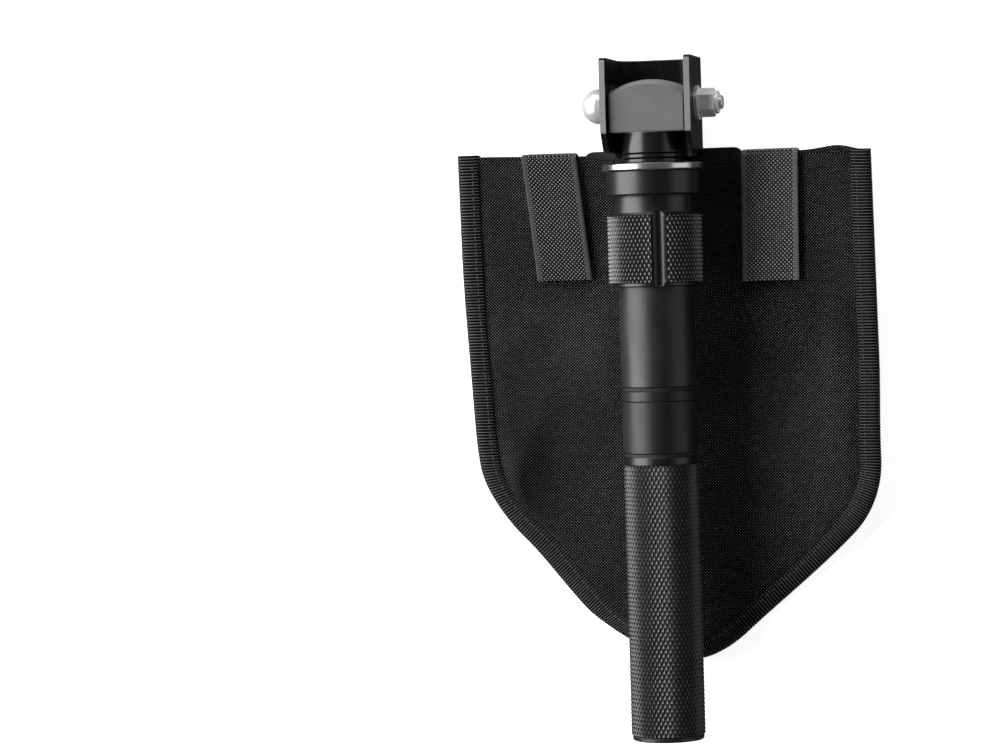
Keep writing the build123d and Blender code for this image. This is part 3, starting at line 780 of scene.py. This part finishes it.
def make_strap(side):
    """Webbing strap: a dotted weave between two plain selvedges."""
    columns, width = 4 * STRAP_THREADS, STRAP_W[side]
    line = strap_line(side, width / columns)
    offsets = np.linspace(-width / 2, width / 2, columns + 1)
    tangent = np.gradient(line, axis=0)
    tangent /= np.linalg.norm(tangent, axis=1)[:, None]
    edge = width / 2 - np.abs(offsets)
    inside = ease(edge, SELVEDGE - 0.3, SELVEDGE + 0.3)
    rounding = 0.25 * ease(edge, 0.7, 0.0)
    warp = np.sin(math.pi / 4 * np.arange(columns + 1))
    points, crown = [], []
    for row, ((y, height), (along_y, along_h)) in enumerate(zip(line, tangent)):
        weft = math.sin(math.pi / 4 * row)
        dots = np.abs(warp * weft) ** 0.7 * np.where(warp * weft > 0, 1.0, 0.3)
        stand = inside * dots + (1 - inside) * (0.28 + 0.12 * abs(weft))
        level = STRAP_T / 2 - 0.25 - rounding + DOT_HEIGHT * stand
        sag = 0.5 * math.sin((BACK_MOUTH - y) / 12) * offsets / width * ease(y, -30, -45)
        for sign, order in ((1, 1), (-1, -1)):
            lifted = sign * level[::order]
            ys, heights = y - along_h * lifted, height - along_y * lifted
            points.append(strap_spot(side, offsets[::order], ys, heights + sag[::order]))
            # the weave's stand is stored as crown, from which the webbing's yarn paints shade between its
            # dots
            crown += list(stand[::order])
    around, rows = 2 * (columns + 1), len(line)
    faces = grid_faces(rows, around, False, True)
    faces.append(tuple(range(around)))
    faces.append(tuple(reversed(range((rows - 1) * around, rows * around))))
    piece = make_piece(f"strap_{side}_webbing", np.concatenate(points), faces, WEBBING[side], 60, crown)
    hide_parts(f"strap_{side}")
    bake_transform(piece)
    return piece


def pad_backing(side, low, back):
    """Points and faces of a pad's thin backing, a closed slab that follows its strap."""
    ys, offsets = np.linspace(low, low + PAD_LENGTH, 40), np.linspace(-PAD_W / 2, PAD_W / 2, 24)
    rows, columns = len(ys), len(offsets)
    layer = rows * columns
    points = [strap_spot(side, offsets, y, level) for level in (back, back + PAD_BACKING) for y in ys]
    bottom = grid_faces(rows, columns)
    faces = [f[::-1] for f in bottom] + [tuple(i + layer for i in f) for f in bottom]
    rim = list(range(columns)) + [columns * (r + 1) - 1 for r in range(1, rows)]
    rim += [layer - 1 - i for i in range(1, columns)] + [columns * r for r in range(rows - 2, 0, -1)]
    faces += [(a, b, b + layer, a + layer) for a, b in zip(rim, rim[1:] + rim[:1])]
    return list(np.concatenate(points)), faces


def add_bristles(points, faces, kind, side, low, base_height, up):
    """Rows of small spikes, all leaning one way for hooks and every way for loops."""
    reach = up * (0.42 if kind == "hook" else 0.36)
    for j, y in enumerate(np.arange(low + 0.8, low + PAD_LENGTH - 0.6, BRISTLE_SPACING)):
        for i, u in enumerate(np.arange(-10.2, 10.3, BRISTLE_SPACING)):
            bend = 0.28 * math.sin(i * 2.4 + j * 1.7)
            lean_x, lean_y = (bend, bend) if kind == "loop" else (0.22, 0.0)
            base = len(points)
            for du, dy in ((-1, -1), (1, -1), (1, 1), (-1, 1)):
                foot = strap_spot(side, u + du * BRISTLE_HALF, y + dy * BRISTLE_HALF, base_height)
                points.append(foot)
            points.append(strap_spot(side, u + lean_x, y + lean_y, base_height + reach))
            faces += [(base + k, base + (k + 1) % 4, base + 4) for k in range(4)]


def make_pad(kind, side):
    """Hook pad under a strap's front or loop pad on the front panel."""
    low = BACK_MOUTH + FOOT_GAP - STRAP_LENGTH[side] + PAD_END_GAP
    if kind == "loop":
        back, up, body = LOOP_BACK, 1, "cover"
        base_height = back + PAD_BACKING
    else:
        back, up, body = HOOK_BACK + PAD_T - PAD_BACKING, -1, f"strap_{side}"
        base_height = back
    points, faces = pad_backing(side, low, back)
    add_bristles(points, faces, kind, side, low, base_height, up)
    piece = make_piece(f"{kind}_pad_{side}_bristles", points, faces, HOOKS, 40)
    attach(piece, body)
    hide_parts(f"{kind}_pad_{side}")
    return piece


make_lock_nut()
make_grip()
front = make_panel("cover_front_cloth", "cover_front", FRONT_MOUTH, FRONT_TOP, FRONT_EDGE, True)
back = make_panel("cover_back_cloth", "cover_back", BACK_MOUTH, BACK_BOTTOM, BACK_EDGE, False)
binding, binding_length = make_binding()
front_seam = make_seam("binding_stitches_front", FRONT_STITCHES, 1.0)
back_seam = make_seam("binding_stitches_back", BACK_STITCHES, -1.0)
straps = {side: make_strap(side) for side in STRAP_X}
pads = {(kind, side): make_pad(kind, side) for side in STRAP_X for kind in ("loop", "hook")}


# --- studio -------------------------------------------------------------------------------

def soft_light(name, angle, lift, distance, width, length, power):
    """A rectangular softbox round the object: angle from overhead towards +X, lift towards +Y."""
    data = bpy.data.lights.new(name, "AREA")
    data.shape = "RECTANGLE"
    data.size, data.size_y, data.energy = width, length, power
    light = bpy.data.objects.new(name, data)
    bpy.context.scene.collection.objects.link(light)
    turn = Matrix.Rotation(math.radians(angle), 3, "Y") @ Matrix.Rotation(math.radians(-lift), 3, "X")
    light.location = turn @ Vector((0, 0, distance))
    light.rotation_euler = turn.to_euler()
    light.visible_camera = False


def make_floor():
    """A plain pale floor, bright enough to read as white paper."""
    finish = Finish("pale_floor", (0.86, 0.86, 0.86), 0.9)
    finish.shader.inputs["Emission Color"].default_value = (1, 1, 1, 1)
    finish.shader.inputs["Emission Strength"].default_value = 0.9
    half = 6000
    points = [(-half, -half, 0), (half, -half, 0), (half, half, 0), (-half, half, 0)]
    floor = make_piece("floor", points, [(0, 1, 2, 3)], finish.material)
    floor.location.z = -0.0004
    floor.visible_glossy = False


def make_world():
    """White behind the object, dim as a light and a little brighter where metal mirrors it."""
    world = bpy.data.worlds.new("studio")
    bpy.context.scene.world = world
    world.use_nodes = True
    tree = world.node_tree
    path = tree.nodes.new("ShaderNodeLightPath")
    level = (0.02, 0.02, 0.02, 1)
    for ray, seen in (("Is Glossy Ray", 0.06), ("Is Camera Ray", 1.0)):
        mix = tree.nodes.new("ShaderNodeMix")
        mix.data_type = "RGBA"
        if isinstance(level, tuple):
            mix.inputs[6].default_value = level
        else:
            tree.links.new(level, mix.inputs[6])
        mix.inputs[7].default_value = (seen, seen, seen, 1)
        tree.links.new(path.outputs[ray], mix.inputs[0])
        level = mix.outputs[2]
    tree.links.new(level, tree.nodes["Background"].inputs["Color"])


CAMERA_LENS = 129.9
CAMERA_TURN = (("Y", 13.03), ("X", -1.78), ("Z", -1.685))
CAMERA_PLACE = (-0.0684, 0.0103, 1.5485)


def make_camera():
    """A long lens almost straight above the shovel, a little from its right."""
    data = bpy.data.cameras.new("camera")
    data.lens = CAMERA_LENS
    camera = bpy.data.objects.new("camera", data)
    bpy.context.scene.collection.objects.link(camera)
    turn = Matrix.Identity(3)
    for axis, angle in CAMERA_TURN:
        turn = turn @ Matrix.Rotation(math.radians(angle), 3, axis)
    place = Vector((0, 0, PIVOT.z * MM)) + turn @ Vector(CAMERA_PLACE)
    camera.matrix_world = Matrix.Translation(place) @ turn.to_4x4()
    bpy.context.scene.camera = camera


soft_light("key", angle=-56, lift=12, distance=0.55, width=0.55, length=0.72, power=6.2)
soft_light("side", angle=76, lift=5, distance=1.0, width=0.8, length=1.2, power=1.6)
soft_light("far", angle=-30, lift=62, distance=1.0, width=1.0, length=0.5, power=3)
make_floor()
make_world()
make_camera()
bpy.context.scene.view_settings.view_transform = "Standard"
